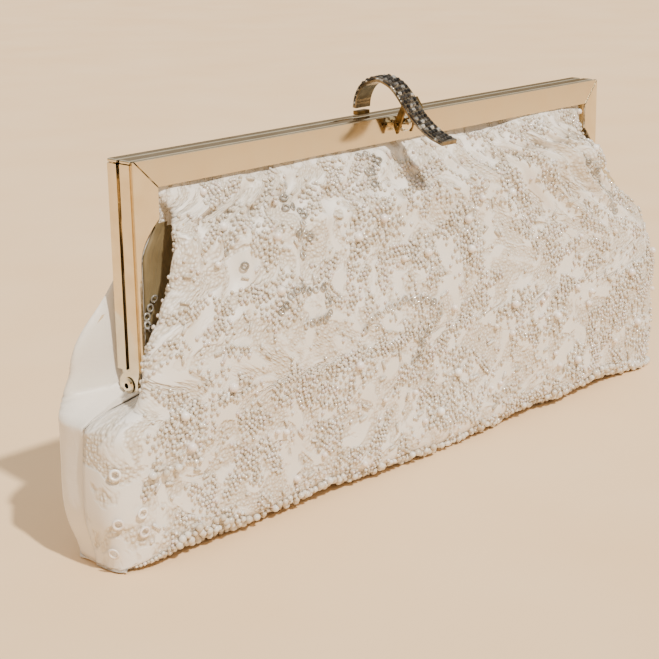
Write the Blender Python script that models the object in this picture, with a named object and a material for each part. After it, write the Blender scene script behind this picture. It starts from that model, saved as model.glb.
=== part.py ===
"""Frame evening bag: two hinged U-shaped metal frames over a soft pouch, closed by a flip-over ribbon clasp.

Metres, +Z up, +X along the bag, -Y towards its beaded front. The origin is on the underside of the base,
below the seam between the two frames, so the bag stands on z = 0.
"""

import math

import bmesh
import bpy
from mathutils import Matrix, Vector

for old in list(bpy.data.objects):
    bpy.data.objects.remove(old, do_unlink=True)

# ---- Driving dimensions ----
frame_length = 0.250  # outside length of both frames
frame_top = 0.127  # height of the frames' top above the base
hinge_height = 0.054  # height of the hinge axis above the base
body_length = 0.300  # length of the pouch at its widest
front_reach = 0.0245  # how far the front bulges ahead of the hinge axis
rear_reach = 0.0170  # how far the rear bulges behind it
base_front = 0.0220  # front edge of the base at its ends, ahead of the hinge axis
base_rear = 0.0110  # rear edge of the base at its ends
front_waist = 0.0080  # the base draws in by this much halfway along its front
rear_waist = 0.0025

# ---- Frame sections ----
seam_half = 0.0007  # each frame stands this far from the seam plane
front_bar = 0.0048  # width of the front frame's outer strip
rear_bar = 0.0044
cap_thickness = 0.0012  # the top strips that lie over the arms' ends
cap_round = 0.00045
sheet = 0.0009  # sheet metal of the channels
groove_width = 0.0012
groove_depth = 0.0016
arm_groove = 0.0009  # the groove is shallower along the arms
flange_width = 0.0090
flange_thickness = 0.0010
flange_slope = 0.0007  # the front flange leans out by this much over its width
flange_edge = 0.00018  # worn edge of the flanges
rear_step = 0.0002  # the rear flange stands this proud of its bar
arm_depth = 0.0036  # depth of the arms' channels
rail_depth = 0.0080  # depth of the rails' inner walls
mitre_gap = 0.0002
hidden_lap = 0.0001  # overlap that keeps joined shapes from sharing a face
taper_start = 0.0190  # below the top: where the arms' flanges start to narrow
taper_length = 0.0140
taper_tip = 0.0012  # width of the arms' flanges below the taper

# ---- Hinge ----
lug_radius = 0.0044
lug_thickness = 0.0011
lug_inset = 0.00005  # front lug's face behind the arm's outer face
lug_gap = 0.0004  # between the front and the rear lug
arm_clearance = 0.0005  # between a lug's rim and the other arm's end
rivet_radius = 0.0016
rivet_bore = 0.00095
rivet_head_radius = 0.0027
rivet_head = 0.0007
rivet_clearance = 0.0003

# ---- Clasp ----
clasp_place = -0.0023  # the ball, along X from the middle
foot_offset = -0.0068  # the ribbon's foot, along X from the ball
ribbon_lean = -0.19  # the ribbon moves this much along X for each step along Y
ribbon_width = 0.0076
ribbon_thickness = 0.0016
ribbon_loop = 0.0135  # the loop's height above the frame's top
foot_back = 0.0028  # the foot stands this far behind the seam
foot_rise = 0.0029  # and this far above the frame's top
ball_radius = 0.0029
ball_drop = 0.0026  # the ball's centre, which is the clasp's pivot, below the frame's top
ball_gap = 0.0007  # between the ball and the flange
ball_neck = 0.0011
pin_radius = 0.0006
pin_clearance = 0.00025
yoke_gap = 0.0004  # between the ball and an ear of the yoke
yoke_thickness = 0.0009
yoke_eye = 0.0015
yoke_tip = 0.0034  # an ear's tip below the pivot
keeper_length = 0.0062
keeper_width = 0.0026
keeper_height = 0.0015

# ---- Soft parts ----
piece_gap = 0.0003  # between pieces that touch
panel_thickness = 0.0009
stiffener_offset = 0.0015
stiffener_thickness = 0.0005
lining_offset = 0.0030
lining_thickness = 0.0006
base_thickness = 0.0012
board_thickness = 0.0020
board_inset = 0.0022
side_seam = -0.0057  # where the front and rear panels meet at the sides
seam_rise = 0.0080  # the side seam ends this far below the hinge axis
notch_rise = 0.0060  # the panels are clear of the arms from this far above it
gusset_depth = 0.0290
gusset_thickness = 0.0008
gusset_start = 0.0065  # above the hinge axis
soft_columns = 28
pocket_length = 0.120
pocket_bottom = 0.028
pocket_top = 0.086
pocket_space = 0.0066
pocket_wall = 0.0008
cord_radius = 0.0010

half = frame_length / 2
ball_lean = flange_slope * ball_drop / flange_width
front_face = seam_half + front_bar + groove_width + flange_thickness
rear_face = seam_half + rear_bar + rear_step
flange_foot = frame_top - flange_width
pivot = Vector((clasp_place, -(front_face + ball_lean + ball_gap + ball_radius), frame_top - ball_drop))
rivet_end = half - lug_inset - 2 * lug_thickness - lug_gap - piece_gap


def make_material(name, colour, roughness, metallic=0.0):
    material = bpy.data.materials.new(name)
    material.use_nodes = True
    shader = material.node_tree.nodes["Principled BSDF"]
    shader.inputs["Base Color"].default_value = (*colour, 1.0)
    shader.inputs["Roughness"].default_value = roughness
    shader.inputs["Metallic"].default_value = metallic
    return material


frame_metal = make_material("frame_metal", (0.80, 0.70, 0.52), 0.12, 1.0)
clasp_metal = make_material("clasp_metal", (0.42, 0.37, 0.30), 0.28, 1.0)
ball_metal = make_material("ball_metal", (0.78, 0.72, 0.62), 0.08, 1.0)
beaded_cloth = make_material("beaded_cloth", (0.90, 0.88, 0.84), 0.45)
satin = make_material("satin", (0.91, 0.88, 0.83), 0.38)
lining_cloth = make_material("lining_cloth", (0.86, 0.82, 0.75), 0.55)
stiffening = make_material("stiffening", (0.88, 0.87, 0.84), 0.80)
board = make_material("board", (0.66, 0.60, 0.50), 0.85)
paper = make_material("paper", (0.78, 0.72, 0.62), 0.90)


def add_object(name, mesh_builder, material, smooth_angle=None):
    """An object of its own for the shape in a bmesh, shaded smooth where asked."""
    bmesh.ops.recalc_face_normals(mesh_builder, faces=mesh_builder.faces)
    if mesh_builder.calc_volume(signed=True) < 0:
        bmesh.ops.reverse_faces(mesh_builder, faces=mesh_builder.faces)
    mesh = bpy.data.meshes.new(name)
    mesh_builder.to_mesh(mesh)
    mesh_builder.free()
    if smooth_angle is not None:
        mesh.shade_smooth()
        mesh.set_sharp_from_angle(angle=math.radians(smooth_angle))
    piece = bpy.data.objects.new(name, mesh)
    mesh.materials.append(material)
    bpy.context.scene.collection.objects.link(piece)
    return piece


def combine(target, helper, operation):
    """Adds a Boolean whose other shape is a hidden helper."""
    helper.hide_render = True
    helper.display_type = "WIRE"
    boolean = target.modifiers.new(helper.name, "BOOLEAN")
    boolean.operation = operation
    boolean.solver = "EXACT"
    boolean.object = helper


def prism(outline, near, far):
    """A closed prism over a flat outline. near and far turn an outline point into its two ends."""
    shape = bmesh.new()
    first = [shape.verts.new(near(*point)) for point in outline]
    last = [shape.verts.new(far(*point)) for point in outline]
    shape.faces.new(first)
    shape.faces.new(reversed(last))
    for index in range(len(outline)):
        following = (index + 1) % len(outline)
        shape.faces.new((first[index], last[index], last[following], first[following]))
    return shape


def box(low, high, round_radius=0.0):
    shape = bmesh.new()
    size = Vector(high) - Vector(low)
    centre = (Vector(high) + Vector(low)) / 2
    place = Matrix.Translation(centre) @ Matrix.Diagonal((*size, 1.0))
    bmesh.ops.create_cube(shape, size=1.0, matrix=place)
    if round_radius:
        bmesh.ops.bevel(
            shape, geom=shape.edges, offset=round_radius, offset_type="OFFSET", segments=3, profile=0.5,
            affect="EDGES",
        )
    return shape


def turned(profile, centre, axis="X", steps=28):
    """A ring or a knob: a closed profile of (along, radius) points, turned about an axis through centre."""
    shape = bmesh.new()
    rings = []
    for step in range(steps):
        angle = 2 * math.pi * step / steps
        ring = []
        for along, radius in profile:
            if axis == "X":
                offset = (along, radius * math.cos(angle), radius * math.sin(angle))
            else:
                offset = (radius * math.cos(angle), along, radius * math.sin(angle))
            ring.append(shape.verts.new(Vector(centre) + Vector(offset)))
        rings.append(ring)
    count = len(profile)
    for step in range(steps):
        here, there = rings[step], rings[(step + 1) % steps]
        for index in range(count):
            following = (index + 1) % count
            shape.faces.new((here[index], here[following], there[following], there[index]))
    bmesh.ops.remove_doubles(shape, verts=shape.verts, dist=1e-7)
    return shape


def cylinder(centre, radius, length, steps=32):
    """A plain cylinder along X."""
    shape = bmesh.new()
    place = Matrix.Translation(centre) @ Matrix.Rotation(math.pi / 2, 4, "Y")
    bmesh.ops.create_cone(
        shape, cap_ends=True, segments=steps, radius1=radius, radius2=radius, depth=length, matrix=place
    )
    return shape


# ---- Frames ----
def channel_outline(bar, groove, top, inner_depth, sunk):
    """Section of a channel as (distance from the seam, depth from the outer edge) points."""
    near = seam_half + hidden_lap
    far = seam_half + bar - hidden_lap
    reach = far + groove + 3 * hidden_lap
    floor = sunk + sheet
    points = [(near, top), (far, top)]
    if groove:
        points += [(far, sunk), (reach, sunk), (reach, floor), (far - sheet, floor)]
    else:
        points += [(far, floor), (far - sheet, floor)]
    points += [(far - sheet, sheet), (near + sheet, sheet)]
    return points + [(near + sheet, inner_depth), (near, inner_depth)]


def flange_place(bar, groove):
    """Where a flange's back face stands, and how much it leans."""
    if groove:
        return seam_half + bar + groove, flange_slope
    return seam_half + bar + rear_step - flange_thickness, 0.0


def add_flange(piece, side, bar, groove, outline):
    """A flat flange over an outline of (x, z, depth) points, its edges slightly worn."""
    back, slope = flange_place(bar, groove)

    def at(distance):
        return lambda x, z, depth: (x, side * (distance + slope * depth / flange_width), z)

    shape = prism(outline, at(back), at(back + flange_thickness))
    bmesh.ops.recalc_face_normals(shape, faces=shape.faces)
    sharp = [edge for edge in shape.edges if edge.calc_face_angle(0.0) > math.radians(40)]
    bmesh.ops.bevel(shape, geom=sharp, offset=flange_edge, segments=2, profile=0.5, affect="EDGES")
    combine(piece, add_object(piece.name + "_flange", shape, frame_metal), "UNION")


def make_rail(name, side, bar, groove):
    """The top of a frame: a mitred channel and flange, under a strip that covers the arms' ends."""

    def end(sign):
        return lambda out, depth: (sign * (half - depth - mitre_gap), side * out, frame_top - depth)

    outline = channel_outline(bar, groove, cap_thickness / 2, rail_depth, groove_depth)
    rail = add_object(name, prism(outline, end(-1), end(1)), frame_metal)
    strip = box(
        (-half, min(side * seam_half, side * (seam_half + bar)), frame_top - cap_thickness),
        (half, max(side * seam_half, side * (seam_half + bar)), frame_top),
        cap_round,
    )
    combine(rail, add_object(name + "_strip", strip, frame_metal), "UNION")
    lip = 0.0 if groove else 2 * hidden_lap
    corners = [(-1, lip), (1, lip), (1, flange_width), (-1, flange_width)]
    face = [(sign * (half - depth - mitre_gap), frame_top - depth, depth) for sign, depth in corners]
    add_flange(rail, side, bar, groove, face)
    return rail


def lug_outline(side, bar, bottom):
    """The hinge eye and the neck that joins it to the arm, as (y, z) points."""
    points = []
    steps = 36
    for step in range(steps + 1):
        angle = math.pi * (0.94 + 1.41 * step / steps)
        points.append((-side * lug_radius * math.cos(angle), hinge_height + lug_radius * math.sin(angle)))
    inner = side * (seam_half + 2 * hidden_lap)
    outer = side * (seam_half + bar - 2 * hidden_lap)
    rise = bottom + 0.0025
    points += [(inner, bottom), (inner, rise), (outer, rise), (outer, bottom)]
    return points


def make_arm(name, end_sign, side, bar, groove, lug_out):
    """A frame's arm: a channel, a flange that tapers, and the lug of the hinge at its foot."""
    bottom = hinge_height + lug_radius + arm_clearance

    def foot(out, depth):
        return (end_sign * (half - depth), side * out, bottom)

    mitre_drop = mitre_gap if groove else mitre_gap + hidden_lap

    def top(out, depth):
        return (end_sign * (half - depth), side * out, frame_top - max(depth, cap_thickness) - mitre_drop)

    outline = channel_outline(bar, groove, 0.0, arm_depth, arm_groove)
    arm = add_object(name, prism(outline, foot, top), frame_metal)
    lip = 0.0 if groove else 2 * hidden_lap
    edge = [(flange_width, flange_width + mitre_gap), (flange_width, taper_start)]
    if groove:
        edge.insert(0, (lip, lip + mitre_gap))
    else:
        edge[:0] = [(lip, cap_thickness + mitre_gap), (cap_thickness, cap_thickness + mitre_gap)]
    steps = 6
    for step in range(1, steps + 1):
        share = step / steps
        depth = taper_tip + (flange_width - taper_tip) * (1 - share) ** 2
        edge.append((depth, taper_start + taper_length * share))
    edge += [(taper_tip, frame_top - bottom + lip), (lip, frame_top - bottom + lip)]
    face = [(end_sign * (half - depth), frame_top - drop, depth) for depth, drop in edge]
    add_flange(arm, side, bar, groove, face)

    def lug_face(inset):
        return lambda y, z: (end_sign * (half - inset), y, z)

    lug = prism(lug_outline(side, bar, bottom), lug_face(lug_out), lug_face(lug_out + lug_thickness))
    combine(arm, add_object(name + "_lug", lug, frame_metal), "UNION")
    hole = cylinder(
        (end_sign * half, 0, hinge_height), rivet_radius + rivet_clearance, 4 * (lug_thickness + lug_gap)
    )
    combine(arm, add_object(name + "_hole", hole, frame_metal), "DIFFERENCE")
    return arm


def make_frames():
    make_rail("front_top_rail", -1, front_bar, groove_width)
    make_rail("rear_top_rail", 1, rear_bar, 0.0)
    rear_lug = lug_inset + lug_thickness + lug_gap
    for end_name, end_sign in (("left", -1), ("right", 1)):
        make_arm(f"front_{end_name}_arm", end_sign, -1, front_bar, groove_width, lug_inset)
        make_arm(f"rear_{end_name}_arm", end_sign, 1, rear_bar, 0.0, rear_lug)


def make_rivets():
    """A tubular rivet at each end: a domed head outside, a plain collar inside, and an open bore."""
    head_face = half - lug_inset + piece_gap
    for end_name, end_sign in (("left", -1), ("right", 1)):
        profile = [
            (head_face + rivet_head, rivet_bore),
            (head_face + rivet_head, rivet_bore + 0.0003),
            (head_face + 0.8 * rivet_head, 0.75 * rivet_head_radius),
            (head_face + 0.35 * rivet_head, rivet_head_radius),
            (head_face, rivet_head_radius),
            (head_face, rivet_radius),
            (rivet_end, rivet_radius),
            (rivet_end, 0.85 * rivet_head_radius),
            (rivet_end - rivet_head, 0.85 * rivet_head_radius),
            (rivet_end - rivet_head, rivet_bore),
        ]
        signed = [(end_sign * along, radius) for along, radius in profile]
        add_object(f"hinge_rivet_{end_name}", turned(signed, (0, 0, hinge_height)), frame_metal, 35)


def make_paper_cords():
    """Paper cord that wedges the cloth into each rail's channel."""
    length = frame_length - 2 * flange_width - 0.010
    for name, side, bar in (("front_paper_cord", -1, front_bar), ("rear_paper_cord", 1, rear_bar)):
        inner = seam_half + hidden_lap + sheet
        out = inner + piece_gap + cord_radius
        centre = (0, side * out, frame_top - groove_depth - 2 * sheet - piece_gap - cord_radius)
        add_object(name, cylinder(centre, cord_radius, length, 12), paper, 40)


# ---- Clasp ----
def ribbon_route():
    """Centre line of the ribbon as (y, z) points, from its foot over the loop to the tail's tip."""
    return [
        (foot_back, frame_top + foot_rise),
        (0.7 * foot_back, frame_top + 0.54 * ribbon_loop),
        (-0.0008, frame_top + 0.85 * ribbon_loop),
        (-0.0061, frame_top + ribbon_loop),
        (-0.0109, frame_top + 0.88 * ribbon_loop),
        (-0.0140, frame_top + 0.67 * ribbon_loop),
        (-0.0164, frame_top + 0.43 * ribbon_loop),
        (-0.0198, frame_top + 0.09 * ribbon_loop),
        (-0.0234, frame_top - 0.0023),
        (-0.0276, frame_top - 0.0054),
        (-0.0325, frame_top - 0.0075),
    ]


def smooth_route(points, steps):
    """Points along a Catmull-Rom curve through the given ones."""
    ends = [points[0], *points, points[-1]]
    route = []
    for index in range(len(points) - 1):
        p0, p1, p2, p3 = (Vector(p) for p in ends[index : index + 4])
        for step in range(steps):
            t = step / steps
            a = 2 * p1
            b = (p2 - p0) * t
            c = (2 * p0 - 5 * p1 + 4 * p2 - p3) * t * t
            d = (3 * p1 - p0 - 3 * p2 + p3) * t ** 3
            route.append(0.5 * (a + b + c + d))
    return [*route, Vector(points[-1])]


def band(route, width, thickness, shift):
    """A strip of constant width along X, swept along a (y, z) route."""
    shape = bmesh.new()
    rows = []
    for index, point in enumerate(route):
        before = route[max(index - 1, 0)]
        after = route[min(index + 1, len(route) - 1)]
        along = (after - before).normalized()
        across = Vector((-along.y, along.x)) * thickness / 2
        centre = shift(point.x)
        row = []
        for x_side, face_side in ((-1, -1), (1, -1), (1, 1), (-1, 1)):
            place = point + face_side * across
            row.append(shape.verts.new((centre + x_side * width / 2, place.x, place.y)))
        rows.append(row)
    for here, there in zip(rows, rows[1:]):
        for index in range(4):
            following = (index + 1) % 4
            shape.faces.new((here[index], here[following], there[following], there[index]))
    shape.faces.new(rows[0])
    shape.faces.new(reversed(rows[-1]))
    return shape


def ribbon_centre(y):
    return clasp_place + foot_offset + (y - foot_back) * ribbon_lean


def make_ribbon():
    """The ribbon: a foot over the keeper, a loop over both rails and a tail over the front."""
    route = smooth_route(ribbon_route(), 4)
    shape = band(route, ribbon_width, ribbon_thickness, ribbon_centre)
    add_object("clasp_ribbon", shape, clasp_metal, 50)


def make_yoke():
    """A bridge under the ribbon with an ear at each side of the ball, and the pin through both."""
    ear_in = ball_radius + yoke_gap
    ear_out = ear_in + yoke_thickness
    sunk = ribbon_thickness / 2 + piece_gap + yoke_thickness / 2
    route = smooth_route(ribbon_route(), 4)[21:28]
    bridge_route = []
    for before, point, after in zip(route, route[1:], route[2:]):
        along = (after - before).normalized()
        bridge_route.append(point + sunk * Vector((-along.y, along.x)))
    bridge = band(bridge_route, 2 * ear_out, yoke_thickness, lambda y: clasp_place)
    yoke = add_object("clasp_yoke", bridge, clasp_metal, 50)
    first, last = bridge_route[1], bridge_route[-2]
    outline = []
    for step in range(15):
        angle = math.pi * (1.02 - 1.0 * step / 14) + math.pi
        reach = yoke_eye + (yoke_tip - yoke_eye) * max(0.0, -math.sin(angle)) ** 4
        outline.append((pivot.y + yoke_eye * math.cos(angle), pivot.z + reach * math.sin(angle)))
    outline.reverse()
    outline += [tuple(first), tuple(last)]
    for x_side in (-1, 1):

        def at(x):
            return lambda y, z: (clasp_place + x_side * x, y, z)

        ear = prism(outline, at(ear_in), at(ear_out - hidden_lap))
        combine(yoke, add_object(f"yoke_ear_{x_side}", ear, clasp_metal), "UNION")
    bore = cylinder(pivot, pin_radius + pin_clearance, 4 * ear_out, 20)
    combine(yoke, add_object("yoke_bore", bore, clasp_metal), "DIFFERENCE")
    add_object("clasp_pin", cylinder(pivot, pin_radius, 2 * ear_out + 0.0008, 16), clasp_metal, 40)


def make_ball():
    """A ball on a short neck in front of the flange, drilled through for the yoke's pin."""
    neck_length = ball_gap - piece_gap
    opening = math.asin(ball_neck / ball_radius)
    profile = []
    steps = 12
    for step in range(steps + 1):
        angle = math.pi - (math.pi - opening) * step / steps
        profile.append((ball_radius * math.cos(angle), max(ball_radius * math.sin(angle), 0.0)))
    profile += [(ball_radius + neck_length, ball_neck), (ball_radius + neck_length, 0.0)]
    ball = add_object("clasp_ball", turned(profile, pivot, "Y", 24), ball_metal, 40)
    bore = cylinder(pivot, pin_radius + pin_clearance, 4 * ball_radius, 20)
    combine(ball, add_object("ball_bore", bore, clasp_metal), "DIFFERENCE")


def make_keeper():
    """The block on the rear rail that the ribbon's foot closes over."""
    low = frame_top + piece_gap
    back = foot_back - keeper_width / 2
    shape = box(
        (clasp_place + foot_offset - keeper_length / 2, back, low),
        (clasp_place + foot_offset + keeper_length / 2, back + keeper_width, low + keeper_height),
        0.0002,
    )
    add_object("clasp_keeper", shape, clasp_metal)


# ---- Soft parts ----
def between(rows, height):
    """Smooth value at a height, from (height, value) rows."""
    if height <= rows[0][0]:
        return rows[0][1]
    for (z0, v0), (z1, v1) in zip(rows, rows[1:]):
        if height <= z1:
            t = (height - z0) / (z1 - z0)
            return v0 + (v1 - v0) * t * t * (3 - 2 * t)
    return rows[-1][1]


notch_height = hinge_height + notch_rise
throat = flange_foot - 0.0004  # where the panels pass behind the flanges
shoulder = notch_height + 0.66 * (throat - notch_height)
top_half = half - flange_width - 0.0008
wide_half = body_length / 2

half_rows = [
    (0.0, 0.975 * wide_half),
    (0.4 * hinge_height, wide_half),
    (0.85 * hinge_height, 0.990 * wide_half),
    (notch_height, 0.5 * (wide_half + top_half) + 0.010),
    (shoulder, top_half + 0.005),
    (throat - 0.009, top_half - 0.0005),
    (throat, top_half),
]
front_rows = [
    (0.0, base_front),
    (0.25 * hinge_height, 0.95 * front_reach),
    (0.8 * hinge_height, front_reach),
    (notch_height, 0.98 * front_reach),
    (shoulder, front_face + 0.66 * (front_reach - front_face)),
    (throat - 0.010, front_face + 0.0057),
    (throat - 0.003, front_face + 0.0022),
    (throat, seam_half + front_bar + groove_width - 0.0002),
]
rear_rows = [
    (0.0, base_rear),
    (0.25 * hinge_height, 0.88 * rear_reach),
    (0.8 * hinge_height, rear_reach),
    (shoulder, rear_face + 0.72 * (rear_reach - rear_face)),
    (throat - 0.009, rear_face + 0.40 * (rear_reach - rear_face)),
    (throat - 0.003, rear_face + 0.0014),
    (throat, rear_face - flange_thickness - 0.0003),
]
seam_top = hinge_height - seam_rise
front_edge_rows = [
    (seam_top, -side_seam + piece_gap),
    (notch_height, front_face + flange_slope + 0.0004),
    (throat - 0.006, front_face + flange_slope + 0.0004),
    (throat, seam_half + front_bar + groove_width - 0.0022),
]
rear_edge_rows = [
    (seam_top, side_seam + piece_gap),
    (notch_height, rear_face + 0.0004),
    (throat - 0.006, rear_face + 0.0004),
    (throat, rear_face - flange_thickness - 0.0019),
]


def panel_point(side, turn, height, inset):
    """A point on a soft layer, from one side edge (turn 0) over the bulge to the other (turn 1)."""
    length = between(half_rows, height) - inset
    reach = between(front_rows if side < 0 else rear_rows, height) - inset
    edge = between(front_edge_rows if side < 0 else rear_edge_rows, height)
    angle = math.pi * turn
    square = between([(hinge_height, 0.24), (throat, 0.42)], height)
    across = math.copysign(abs(math.cos(angle)) ** square, -math.cos(angle))
    bulge = abs(math.sin(angle)) ** (1.45 * square)
    waist = (front_waist if side < 0 else rear_waist) * (1 - across**2)
    waist *= between([(0.0, 1.0), (0.45 * hinge_height, 0.0)], height)
    return Vector((length * across, side * (edge + (reach - waist - edge) * bulge), height))


def levels_between(low, high):
    """The heights where a soft layer has a row of points."""
    middle = (notch_height + shoulder) / 2
    knots = [
        0.12 * hinge_height, 0.3 * hinge_height, 0.55 * hinge_height,
        seam_top, (seam_top + notch_height) / 2, notch_height, middle, shoulder,
        throat - 0.012, throat - 0.006, throat - 0.003, throat - 0.0012, throat,
    ]
    return [low, *(knot for knot in knots if low + 0.001 < knot < high - 0.0004), high]


def layer(side, offset, thickness, low, high, columns):
    """A closed shell between two nested layers of a soft half."""
    shape = bmesh.new()
    skins = []
    for inset in (offset, offset + thickness):
        skin = []
        for height in levels_between(low, high):
            turns = [column / columns for column in range(columns + 1)]
            row = [panel_point(side, turn, height, inset) for turn in turns]
            skin.append([shape.verts.new(point) for point in row])
        skins.append(skin)
    outer, inner = skins
    rows = len(outer)
    for level in range(rows - 1):
        for column in range(columns):
            for skin in skins:
                low_edge = (skin[level][column], skin[level][column + 1])
                high_edge = (skin[level + 1][column + 1], skin[level + 1][column])
                shape.faces.new(low_edge + high_edge)
        for column in (0, columns):
            outer_edge = (outer[level][column], outer[level + 1][column])
            shape.faces.new(outer_edge + (inner[level + 1][column], inner[level][column]))
    for column in range(columns):
        for level in (0, rows - 1):
            outer_edge = (outer[level][column], outer[level][column + 1])
            shape.faces.new(outer_edge + (inner[level][column + 1], inner[level][column]))
    return shape


def make_soft_halves():
    panel_top = frame_top - groove_depth - 2 * sheet - 2 * piece_gap - 2 * cord_radius
    lining_top = throat - 0.0030
    panel_low = base_thickness + piece_gap
    layer_low = panel_low + board_thickness + piece_gap
    for name, side, cloth in (("front", -1, beaded_cloth), ("rear", 1, satin)):
        panel = layer(side, 0.0, panel_thickness, panel_low, panel_top, soft_columns)
        add_object(f"{name}_panel", panel, cloth, 60)
        stiffener = layer(side, stiffener_offset, stiffener_thickness, layer_low, lining_top, soft_columns)
        add_object(f"{name}_stiffener", stiffener, stiffening, 60)
        lining = layer(side, lining_offset, lining_thickness, layer_low, lining_top, soft_columns)
        add_object(f"{name}_lining", lining, lining_cloth, 60)


def base_outline(inset, columns=soft_columns):
    """Outline of the pouch at the base, as (x, y) points, drawn in by an inset."""
    points = []
    for side in (-1, 1):
        row = [panel_point(side, column / columns, 0.0, inset) for column in range(columns + 1)]
        if side > 0:
            row.reverse()
        points += [(point.x, point.y) for point in row]
    return points


def make_base():
    def at(height):
        return lambda x, y: (x, y, height)

    add_object("base_panel", prism(base_outline(0.0), at(0.0), at(base_thickness)), satin)
    low = base_thickness + piece_gap
    add_object("base_board", prism(base_outline(board_inset), at(low), at(low + board_thickness)), board)


def make_gussets():
    """A V-fold inside each end, between the front and the rear arm."""
    root = half - arm_depth - piece_gap
    front_out = seam_half + front_bar - 0.0006
    rear_out = rear_face - flange_thickness - piece_gap
    low = hinge_height + gusset_start
    high = throat - 0.005
    for end_name, end_sign in (("left", -1), ("right", 1)):

        def section(height):
            share = (height - low) / (high - low)
            fold = root - gusset_depth * (0.16 + 0.84 * share)
            tip = 1.6 * gusset_thickness
            chevron = [
                (root, -front_out), (fold, 0.0), (root, rear_out),
                (root, rear_out - gusset_thickness), (fold + tip, 0.0), (root, -front_out + gusset_thickness),
            ]
            return [(end_sign * x, y, height) for x, y in chevron]

        shape = bmesh.new()
        rows = [[shape.verts.new(point) for point in section(height)] for height in (low, high)]
        for index in range(6):
            following = (index + 1) % 6
            shape.faces.new((rows[0][index], rows[0][following], rows[1][following], rows[1][index]))
        for row in rows:
            shape.faces.new(row)
        add_object(f"gusset_{end_name}", shape, lining_cloth)


def make_pocket():
    """A slip pocket that stands off the rear lining, open at its top."""
    pocket_back = between(rear_rows, pocket_top) - lining_offset - lining_thickness - 3 * piece_gap
    pocket_front = pocket_back - pocket_space - pocket_wall
    pocket_half = pocket_length / 2
    outline = [
        (-pocket_half, pocket_back), (-pocket_half, pocket_front), (pocket_half, pocket_front),
        (pocket_half, pocket_back), (pocket_half - pocket_wall, pocket_back),
        (pocket_half - pocket_wall, pocket_front + pocket_wall),
        (-pocket_half + pocket_wall, pocket_front + pocket_wall), (-pocket_half + pocket_wall, pocket_back),
    ]

    def at(height):
        return lambda x, y: (x, y, height)

    pocket = add_object("slip_pocket", prism(outline, at(pocket_bottom), at(pocket_top)), lining_cloth)
    floor = box(
        (-pocket_half + hidden_lap, pocket_front + hidden_lap, pocket_bottom - hidden_lap),
        (pocket_half - hidden_lap, pocket_back - hidden_lap, pocket_bottom + pocket_wall),
    )
    combine(pocket, add_object("pocket_floor", floor, lining_cloth), "UNION")


make_frames()
make_rivets()
make_paper_cords()
make_ribbon()
make_yoke()
make_ball()
make_keeper()
make_soft_halves()
make_base()
make_gussets()
make_pocket()
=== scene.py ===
import bpy
import math
import random
import numpy as np
from mathutils import Matrix, Vector, noise


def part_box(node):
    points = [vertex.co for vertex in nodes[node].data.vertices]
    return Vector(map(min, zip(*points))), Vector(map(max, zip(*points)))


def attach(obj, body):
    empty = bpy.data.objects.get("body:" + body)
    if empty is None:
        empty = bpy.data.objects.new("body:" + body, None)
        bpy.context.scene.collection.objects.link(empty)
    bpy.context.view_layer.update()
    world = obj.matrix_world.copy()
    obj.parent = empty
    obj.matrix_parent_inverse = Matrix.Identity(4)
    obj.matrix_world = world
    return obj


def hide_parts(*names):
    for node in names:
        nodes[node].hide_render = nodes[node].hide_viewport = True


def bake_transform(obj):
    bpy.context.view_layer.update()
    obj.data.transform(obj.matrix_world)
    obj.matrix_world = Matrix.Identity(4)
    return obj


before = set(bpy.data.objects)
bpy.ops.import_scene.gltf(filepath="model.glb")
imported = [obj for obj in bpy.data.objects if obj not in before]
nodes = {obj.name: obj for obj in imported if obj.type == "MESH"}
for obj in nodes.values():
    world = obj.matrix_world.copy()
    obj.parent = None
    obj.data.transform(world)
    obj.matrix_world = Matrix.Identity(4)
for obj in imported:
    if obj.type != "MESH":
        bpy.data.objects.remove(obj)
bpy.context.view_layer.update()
print("frame loaded")

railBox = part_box("front_top_rail")
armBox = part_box("front_left_arm")
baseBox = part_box("base_panel")
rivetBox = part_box("hinge_rivet_left")
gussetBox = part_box("gusset_left")
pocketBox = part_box("slip_pocket")

throat = railBox[0][2]                              # foot of the frame's flange
hinge = (rivetBox[0][2] + rivetBox[1][2]) / 2       # height of the two rivets
armOut = -armBox[0][0]                              # outer side of the arms


# The camera looks down on the bag from its front left, through a long lens.
camera = {
    "place": (-0.4426, -0.3872, 0.2116),
    "azimuth": -46.77,
    "elevation": 15.76,
    "roll": -0.95,
    "lens": 88.8,
}
turn, tilt, roll = (math.radians(camera[k]) for k in ("azimuth", "elevation", "roll"))
back = Vector((math.sin(turn) * math.cos(tilt), -math.cos(turn) * math.cos(tilt), math.sin(tilt)))
level = Vector((math.cos(turn), math.sin(turn), 0))
across = math.cos(roll) * level + math.sin(roll) * back.cross(level)
bpy.ops.object.camera_add(location=camera["place"])
bpy.context.scene.camera = bpy.context.object
axes = Matrix((across, back.cross(across), back)).transposed()
bpy.context.object.rotation_euler = axes.to_euler()
bpy.context.object.data.lens = camera["lens"]
bpy.context.object.data.clip_start = 0.01

# One warm sun stands behind the viewer and throws the shadows to the left.
light = {
    "sunWay": (0.12, 1.0, -1.32),
    "sunPower": 4.9,
    "sunAngle": 2.5,
    "skyPower": 1.0,
}
bpy.ops.object.light_add(type="SUN", rotation=Vector(light["sunWay"]).to_track_quat("-Z", "Y").to_euler())
bpy.context.object.data.energy = light["sunPower"]
bpy.context.object.data.angle = math.radians(light["sunAngle"])
bpy.context.object.data.color = (1.0, 0.95, 0.87)
print("camera and sun set")


def colour(code):
    parts = [int(code[i:i + 2], 16) / 255 for i in (1, 3, 5)]
    return [c / 12.92 if c <= 0.04045 else ((c + 0.055) / 1.055) ** 2.4 for c in parts] + [1.0]


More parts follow.
